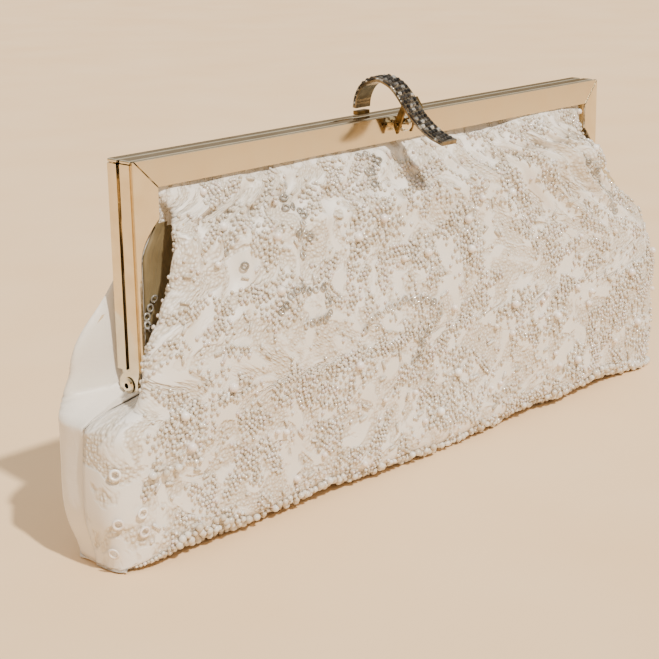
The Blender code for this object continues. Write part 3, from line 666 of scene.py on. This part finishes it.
def template(kind, squash=1.0, **settings):
    # A small shape modelled once; its points and faces are then copied to every place.
    bpy.ops.object.select_all(action="DESELECT")
    getattr(bpy.ops.mesh, kind)(**settings)
    made = bpy.context.object
    points = np.array([v.co[:] for v in made.data.vertices]) * (1, 1, squash)
    faces = [tuple(p.vertices) for p in made.data.polygons]
    bpy.data.objects.remove(made)
    return points, faces


def copies(name, shape, spots, material, flat=False):
    # spots: place, outward direction, direction along, size, tint
    points, faces = shape
    places = np.array([s[0] for s in spots])
    up = np.array([s[1] for s in spots])
    along = np.array([s[2] for s in spots])
    size = np.array([s[3] for s in spots])
    tint = np.array([s[4] for s in spots])
    places[:, 2] = np.maximum(places[:, 2], size)      # nothing reaches into the table
    up /= np.linalg.norm(up, axis=1, keepdims=True)
    along -= up * (along * up).sum(1, keepdims=True)
    along /= np.maximum(np.linalg.norm(along, axis=1, keepdims=True), 1e-9)
    axes = np.stack([along, np.cross(up, along), up], axis=2)
    shaped = np.einsum("nij,mj->nmi", axes, points) * size[:, None, None] + places[:, None]
    count = len(points)
    allFaces = [tuple(i * count + v for v in f) for i in range(len(spots)) for f in faces]
    mesh = bpy.data.meshes.new(name)
    mesh.from_pydata(shaped.reshape(-1, 3).tolist(), [], allFaces)
    piece = bpy.data.objects.new(name, mesh)
    bpy.context.collection.objects.link(piece)
    tints = mesh.attributes.new("tint", "FLOAT", "POINT")
    tints.data.foreach_set("value", np.repeat(tint, count).astype(np.float32))
    mesh.materials.append(material)
    mesh.polygons.foreach_set("use_smooth", [not flat] * len(mesh.polygons))
    print(name, len(spots))
    return piece


frontNormals = outward(frontGrid, -1)
frontAlong = np.gradient(frontGrid, axis=1)
middleSteps = np.linalg.norm(np.diff(frontGrid[:, columns // 2], axis=0), axis=1)
surfaceUp = np.concatenate([[0], np.cumsum(middleSteps)])
halfSpread = 0.172                                  # half the width of the front cloth laid flat


def mixed(grid, i, j, u, v):
    low = grid[i, j] * (1 - v) + grid[i, j + 1] * v
    high = grid[i + 1, j] * (1 - v) + grid[i + 1, j + 1] * v
    return low * (1 - u) + high * u


def onCloth(a, b, lift=0.0):
    # Place on the front cloth a along from the middle and b up from its under edge, in metres.
    c = min(max((a / halfSpread + 1) / 2 * (columns - 1), 0), columns - 1.001)
    r = min(max(np.interp(b, surfaceUp, np.arange(rows)), 0), rows - 1.001)
    i, j = int(r), int(c)
    u, v = r - i, c - j
    normal = mixed(frontNormals, i, j, u, v)
    spot = mixed(frontGrid, i, j, u, v) + normal * lift
    return spot, normal, mixed(frontAlong, i, j, u, v)


def atPlace(x, z):
    # The same place as (along, up) for a point given by x and height.
    r = int(np.argmin(np.abs(frontGrid[8:, columns // 2, 2] - z))) + 8
    c = np.interp(x, frontGrid[r, :, 0], np.arange(columns))
    return (c / (columns - 1) * 2 - 1) * halfSpread, surfaceUp[r]


taken = {}


def isFree(a, b, room):
    # Takes the place if nothing sewn on before is nearer than the two rooms' mean.
    cell = 0.003
    i, j = int(a // cell), int(b // cell)
    for di in (-1, 0, 1):
        for dj in (-1, 0, 1):
            for p, q, other in taken.get((i + di, j + dj), ()):
                if (p - a) ** 2 + (q - b) ** 2 < (0.5 * (room + other)) ** 2:
                    return False
    taken.setdefault((i, j), []).append((a, b, room))
    return True


def sew(pile, a, b, size, lift, tint):
    spot, normal, along = onCloth(a, b, lift)
    pile.append((spot, normal, along, size, tint))


dice = random.Random(11)
# Sizes are half widths in metres, pitches the distance from one bead to the next.
beads = {
    "seed": 0.00078,
    "seedPitch": 0.00158,
    "seedLift": 0.55,             # of its own size
    "milk": 0.00128,
    "milkPitch": 0.00265,
    "milkTop": 0.050,
    "ring": 0.00152,
    "ringPitch": 0.0029,
    "whiteRing": 0.0021,
    "bugle": 0.00150,
    "pearl": 0.00125,
    "leafLength": 0.0085,
    "leafWidth": 0.0033,
    "leaves": 470,
    "loose": 1500,
    "flowers": 26,
    "heart": 0.0017,
    "petal": 0.0085,
    "petalBead": 0.00088,
}
ball = template("primitive_ico_sphere_add", 0.8, subdivisions=1, radius=1)
round8 = template("primitive_uv_sphere_add", 0.9, segments=8, ring_count=6, radius=1)
ring = template("primitive_torus_add", 0.6, major_segments=12, minor_segments=4,
                major_radius=0.74, minor_radius=0.26)
tube = template("primitive_cylinder_add", 1.0, vertices=6, radius=0.32, depth=2.0)
tube = (tube[0][:, [2, 0, 1]], tube[1])
top = surfaceUp[-1] - 0.0035

# Ring sequins in short curving lines, and larger white rings low on the left.
ringLines = (
    ((-0.0245, 0.1150), (-0.0165, 0.1145), (-0.0155, 0.1105), (-0.0255, 0.1095), (-0.0215, 0.1050)),
    ((-0.0635, 0.1105), (-0.0665, 0.1045), (-0.0590, 0.1020), (-0.0665, 0.0965), (-0.0590, 0.0940),
     (-0.0640, 0.0890)),
    ((-0.0790, 0.0730), (-0.0700, 0.0785), (-0.0560, 0.0760), (-0.0560, 0.0670), (-0.0680, 0.0665)),
    ((-0.0380, 0.0590), (-0.0310, 0.0628), (-0.0180, 0.0645), (-0.0050, 0.0625), (0.0020, 0.0590),
     (0.0010, 0.0550), (-0.0050, 0.0510), (-0.0110, 0.0495), (-0.0070, 0.0450), (-0.0140, 0.0415)),
    ((-0.1180, 0.0820), (-0.1230, 0.0740), (-0.1130, 0.0700), (-0.1270, 0.0640), (-0.1190, 0.0590)),
    ((-0.0960, 0.0950), (-0.0915, 0.0900)),
    ((0.1000, 0.0980), (0.1070, 0.0950), (0.1100, 0.0880), (0.1180, 0.0780), (0.1230, 0.0710)),
)
rings = []
for line in ringLines:
    track = np.array([(x, 0.0, z) for x, z in line])
    count = max(2, int(np.linalg.norm(np.diff(track, axis=0), axis=1).sum() / beads["ringPitch"]))
    for x, _, z in evenly(track, count):
        a, b = atPlace(x, z)
        isFree(a, b, 0.0030)
        spot, normal, along = onCloth(a, b, 0.0007)
        tiltBy = np.array([dice.uniform(-0.18, 0.18) for _ in range(3)])
        rings.append((spot, normal + tiltBy, along, beads["ring"], dice.random()))
whiteRings = []
for x, z in ((-0.1475, 0.034), (-0.1405, 0.023), (-0.1475, 0.021), (-0.1395, 0.018), (-0.1470, 0.014)):
    a, b = atPlace(x, z)
    isFree(a, b, 0.0052)
    sew(whiteRings, a, b, beads["whiteRing"], 0.0010, dice.random())

# Milky beads crowd the bottom edge, and the lower left corner above it.
milk = []
step = beads["milkPitch"]
for i in range(int(2 * halfSpread / step)):
    for j in range(int(beads["milkTop"] / step)):
        a = -halfSpread + (i + 0.5 * (j % 2) + dice.uniform(-0.18, 0.18)) * step
        b = 0.004 + (j * 0.87 + dice.uniform(-0.18, 0.18)) * step
        swing = noise.noise(Vector((a * 55, 2.0, 0)))
        higher = 0.006 * (1 - smooth(-0.140, -0.085, a)) + 0.005 * smooth(0.05, 0.15, a)
        reachUp = (0.0155 + 0.006 * swing + higher) * smooth(-0.147, -0.135, a)
        cluster = ((a + 0.136) / 0.017) ** 2 + ((b - 0.049) / 0.008) ** 2 < 1
        if (b < reachUp or cluster) and dice.random() < 0.9 and isFree(a, b, 0.0019):
            size = beads["milk"] * dice.uniform(0.6, 1.15)
            sew(milk, a, b, size, size * dice.uniform(0.55, 1.0), dice.random())

# Open flowers: petals outlined in small milky beads round a pearl.
petals, hearts = [], []
for flower in range(beads["flowers"]):
    a = dice.uniform(-halfSpread + 0.035, halfSpread - 0.015)
    b = dice.uniform(0.18, 0.92) * top
    spin = dice.uniform(0, math.pi)
    reach = beads["petal"] * dice.uniform(0.8, 1.25)
    if not isFree(a, b, 0.004):
        continue
    sew(hearts, a, b, beads["heart"], 0.0012, dice.random())
    for petal in range(6):
        way = spin + petal * math.pi / 3
        for t in np.linspace(0, 2 * math.pi, 13)[:-1]:
            p = reach * (0.62 + 0.42 * math.cos(t))
            q = reach * 0.24 * math.sin(t)
            u = a + p * math.cos(way) - q * math.sin(way)
            v = b + p * math.sin(way) + q * math.cos(way)
            if 0.010 < v < top and abs(u) < halfSpread - 0.006 and isFree(u, v, 0.0014):
                size = beads["petalBead"] * dice.uniform(0.85, 1.15)
                sew(petals, u, v, size, size * 0.6, dice.random())

# Seed beads fill leaf shapes that follow winding sprays, closer together lower down.
seeds, bugles, pearls = [], [], []
for leaf in range(beads["leaves"]):
    a = dice.uniform(-halfSpread + 0.022, halfSpread - 0.010)
    b = dice.uniform(0.012, 1) ** 1.15 * top
    if noise.noise(Vector((a * 42, b * 60, 5.0))) < -0.12 + 0.16 * (b / top - 0.5):
        continue
    spray = 2.4 * noise.noise(Vector((a * 16, b * 16, 9.0)))
    lean = spray + dice.choice((0.6, 2.3)) + dice.uniform(-0.25, 0.25)
    long = beads["leafLength"] * dice.uniform(0.7, 1.25)
    wide = beads["leafWidth"] * dice.uniform(0.75, 1.2)
    pitch = beads["seedPitch"]
    for i in range(-int(long / pitch), int(long / pitch) + 1):
        for j in range(-int(wide / pitch) - 1, int(wide / pitch) + 2):
            p = (i + 0.5 * (j % 2)) * pitch
            q = j * pitch * 0.87
            if abs(q) > wide * max(0.0, 1 - (p / long) ** 2):
                continue
            u = a + p * math.cos(lean) - q * math.sin(lean) + dice.uniform(-0.00022, 0.00022)
            v = b + p * math.sin(lean) + q * math.cos(lean) + dice.uniform(-0.00022, 0.00022)
            if not 0.008 < v < top or abs(u) > halfSpread - 0.006 or not isFree(u, v, 0.00142):
                continue
            size = beads["seed"] * dice.uniform(0.85, 1.12)
            sew(seeds, u, v, size, size * beads["seedLift"], dice.random() ** 0.9)
for loose in range(beads["loose"]):
    a = dice.uniform(-halfSpread + 0.02, halfSpread - 0.008)
    b = dice.uniform(0.010, top)
    kind = dice.random()
    if kind < 0.10 and isFree(a, b, 0.0026):
        sew(pearls, a, b, beads["pearl"] * dice.uniform(0.8, 1.1), 0.0009, dice.random())
    elif kind < 0.30 and isFree(a, b, 0.0022):
        spot, normal, along = onCloth(a, b, 0.0005)
        swing = dice.uniform(0, math.pi)
        ahead = along / np.linalg.norm(along)
        turned = ahead * math.cos(swing) + np.cross(normal, ahead) * math.sin(swing)
        bugles.append((spot, normal, turned, beads["bugle"] * dice.uniform(0.8, 1.2), dice.random()))
    elif isFree(a, b, 0.0015):
        size = beads["seed"] * dice.uniform(0.8, 1.1)
        sew(seeds, a, b, size, size * beads["seedLift"], 0.4 + 0.6 * dice.random())

cut = len(seeds) // 2
seeds.sort(key=lambda s: s[0][0])
beadPieces = [copies(*kind) for kind in (
    ("seedBeadsLeft", ball, seeds[:cut], seedGlass),
    ("seedBeadsRight", ball, seeds[cut:], seedGlass),
    ("milkyBeads", round8, milk, milkGlass),
    ("petalBeads", ball, petals, milkGlass),
    ("flowerPearls", round8, hearts, pearl),
    ("ringSequins", ring, rings, sequinFilm),
    ("whiteRings", ring, whiteRings, pearl),
    ("bugleBeads", tube, bugles, seedGlass),
    ("pearls", round8, pearls, pearl),
)]
print("beads sewn on")

# The clasp's ribbon is set with four lanes of stones, and its edges carry milled grains.
# The line is the ribbon's middle from its foot, as depth and height above the rail.
clasp = {
    "line": ((0.0028, 0.0029), (0.00196, 0.0073), (-0.0008, 0.0115), (-0.0061, 0.0135), (-0.0109, 0.0119),
             (-0.0140, 0.0090), (-0.0164, 0.0058), (-0.0198, 0.0012), (-0.0234, -0.0023),
             (-0.0276, -0.0054), (-0.0325, -0.0075)),
    "lean": -0.19,
    "foot": -0.0091,
    "halfThickness": 0.0008,
    "pitch": 0.00178,
    "lanes": (-0.00270, -0.00090, 0.00090, 0.00270),
    "firstStone": 3,
    "stone": 0.00096,
    "grain": 0.00058,
    "grainLane": 0.00372,
    "grainRows": 71,
    "samples": 400,
}
railTop = railBox[1][2]
footDepth = clasp["line"][0][0]
line = np.array([(clasp["foot"] + (y - footDepth) * clasp["lean"], y, railTop + z) for y, z in clasp["line"]])
fine = np.linspace(0, len(line) - 1, clasp["samples"])
curve = np.zeros((clasp["samples"], 3))
# A smooth curve through the line's points, as in the ribbon itself.
for k in range(3):
    padded = np.concatenate([[2 * line[0, k] - line[1, k]], line[:, k], [2 * line[-1, k] - line[-2, k]]])
    for n, t in enumerate(fine):
        i = min(int(t), len(line) - 2)
        f = t - i
        p0, p1, p2, p3 = padded[i:i + 4]
        bend = 2 * p0 - 5 * p1 + 4 * p2 - p3
        swerve = 3 * p1 - p0 - 3 * p2 + p3
        curve[n, k] = 0.5 * (2 * p1 + (p2 - p0) * f + bend * f * f + swerve * f ** 3)
total = np.linalg.norm(np.diff(curve, axis=0), axis=1).sum()
stations = evenly(curve, int(total / clasp["pitch"]) + 1)


def ribbonAxes(step):
    along = step / np.linalg.norm(step)
    wide = np.array((1.0, 0.0, 0.0)) - along * along[0]
    wide /= np.linalg.norm(wide)
    return along, wide, np.cross(along, wide)


stones, grains = [], []
for i in range(clasp["firstStone"], len(stations) - 1):
    along, wide, out = ribbonAxes(stations[i + 1] - stations[i - 1])
    for lane in clasp["lanes"]:
        spot = stations[i] + wide * lane + out * (clasp["halfThickness"] - 0.0001)
        leanBy = wide * dice.uniform(-0.22, 0.22) + along * dice.uniform(-0.22, 0.22)
        size = clasp["stone"] * dice.uniform(0.94, 1.04)
        stones.append((spot, out + leanBy, along, size, dice.random() ** 1.4))
last = clasp["samples"] - 1
for station in range(2, clasp["grainRows"] - 1):
    i = int(station / clasp["grainRows"] * last)
    along, wide, out = ribbonAxes(curve[min(i + 2, last)] - curve[max(i - 2, 0)])
    for lane in (-clasp["grainLane"], clasp["grainLane"]):
        grains.append((curve[i] + wide * lane + out * 0.00025, out, along, clasp["grain"], dice.random()))
gem = template("primitive_cone_add", 1.0, vertices=8, radius1=1.0, radius2=0.52, depth=0.62)
gem = (gem[0] + (0, 0, 0.31), gem[1])
stonePiece = copies("paveStones", gem, stones, stoneGlass, flat=True)
grainPiece = copies("milledGrains", ball, grains, stoneGlass)
print("clasp set with stones")


# The table runs well past the picture's edges, under a pale room with a brown floor line.
bpy.ops.mesh.primitive_plane_add(size=12, location=(2.0, 2.0, 0))
floor = bpy.context.object
floor.name = "tableTop"
floor.data.transform(floor.matrix_world)
floor.matrix_world = Matrix.Identity(4)
floor.data.materials.append(tableTop)
world = bpy.data.worlds.new("softRoom")
bpy.context.scene.world = world
world.use_nodes = True
room = world.node_tree
way = addNode(room, "ShaderNodeTexCoord").outputs["Generated"]
parts = addNode(room, "ShaderNodeSeparateXYZ", {"Vector": way})
walls = [(0.0, "#6f5a40"), (0.85, "#fffaf2"), (0.12, "#8a7556"), (0.35, "#e6dccd")]
shade = addNode(room, "ShaderNodeValToRGB", {"Fac": parts.outputs["Z"]}, walls)
room.links.new(shade.outputs["Color"], room.nodes["Background"].inputs["Color"])
room.nodes["Background"].inputs["Strength"].default_value = light["skyPower"]
print("floor and sky set")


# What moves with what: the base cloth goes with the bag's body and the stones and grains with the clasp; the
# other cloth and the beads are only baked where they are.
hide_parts("front_panel", "front_stiffener")
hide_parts("rear_panel", "rear_stiffener")
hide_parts("front_lining")
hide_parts("rear_lining")
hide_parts("slip_pocket")
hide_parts("base_panel")
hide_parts("gusset_left")
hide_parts("gusset_right")
for piece, body, word in (
    (frontCloth, "front_frame", "beaded_cloth"), (linings[0], "front_frame", "lining_cloth"),
    (rearCloth, "rear_frame", "satin"), (linings[1], "rear_frame", "lining_cloth"),
    (pocketCloth, "rear_frame", "lining_cloth"),
):
    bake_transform(piece)
for (way, hand), piece in gussets.items():
    body = "front_frame" if way == "front" else "rear_frame"
    crease, atArm = (hand * gusset["crease"], 0, 0), (hand * (armOut - 0.006), 0, 0)
    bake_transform(piece)
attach(baseCloth, "bag_body")
for piece in beadPieces:
    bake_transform(piece)
for piece in (stonePiece, grainPiece):
    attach(piece, "clasp")
